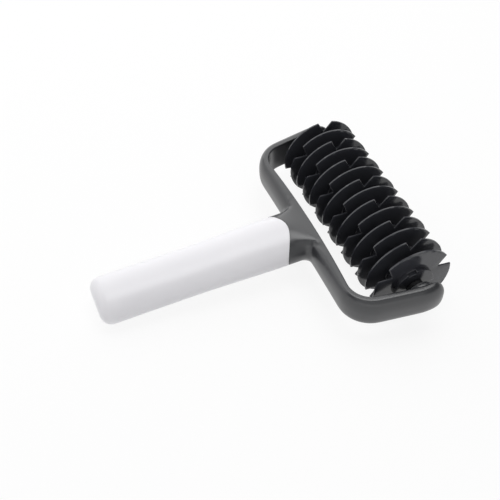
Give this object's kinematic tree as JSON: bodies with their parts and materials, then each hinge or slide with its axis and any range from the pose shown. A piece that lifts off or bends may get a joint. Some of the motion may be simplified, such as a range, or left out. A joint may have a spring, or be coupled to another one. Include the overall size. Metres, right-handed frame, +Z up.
{
  "type": "lattice roller cutter",
  "caption": "Hand roller with notched black discs keyed side by side on an axle, turning in a grey fork with a white handle, for slitting pastry into a lattice.",
  "frame": {"origin": "on the ground under the middle of the part's box, with the cutter lying on its discs and its handle's end", "axes": "+X along the roller's axle, +Y level from the handle's end towards the roller, +Z up"},
  "size_m": [0.1358, 0.1708, 0.0438],
  "materials": {
    "yoke_grey": "satin moulded",
    "grip_white": "glossy moulded",
    "disc_black": "glossy moulded",
    "axle_steel": "turned",
    "bush_grey": "moulded"
  },
  "bodies": {
    "frame": {"yoke": "yoke_grey", "handle_grip": "grip_white", "axle_bush_near": "bush_grey", "axle_bush_far": "bush_grey"},
    "roller": {"axle": "axle_steel", "end_spacer": "disc_black", "thrust_washer_near": "disc_black", "thrust_washer_far": "disc_black", "cutter_disc_01": "disc_black", "cutter_disc_02": "disc_black", "cutter_disc_03": "disc_black", "cutter_disc_04": "disc_black", "cutter_disc_05": "disc_black", "cutter_disc_06": "disc_black", "cutter_disc_07": "disc_black", "cutter_disc_08": "disc_black", "cutter_disc_09": "disc_black", "cutter_disc_10": "disc_black", "cutter_disc_11": "disc_black", "cutter_disc_12": "disc_black", "cutter_disc_13": "disc_black", "cutter_disc_14": "disc_black"}
  },
  "joints": [
    {"name": "roller_spin", "type": "hinge", "parent": "frame", "child": "roller", "pos_m": [0, 0.06353, 0.02189], "axis": [1, 0, 0], "continuous": true}
  ]
}
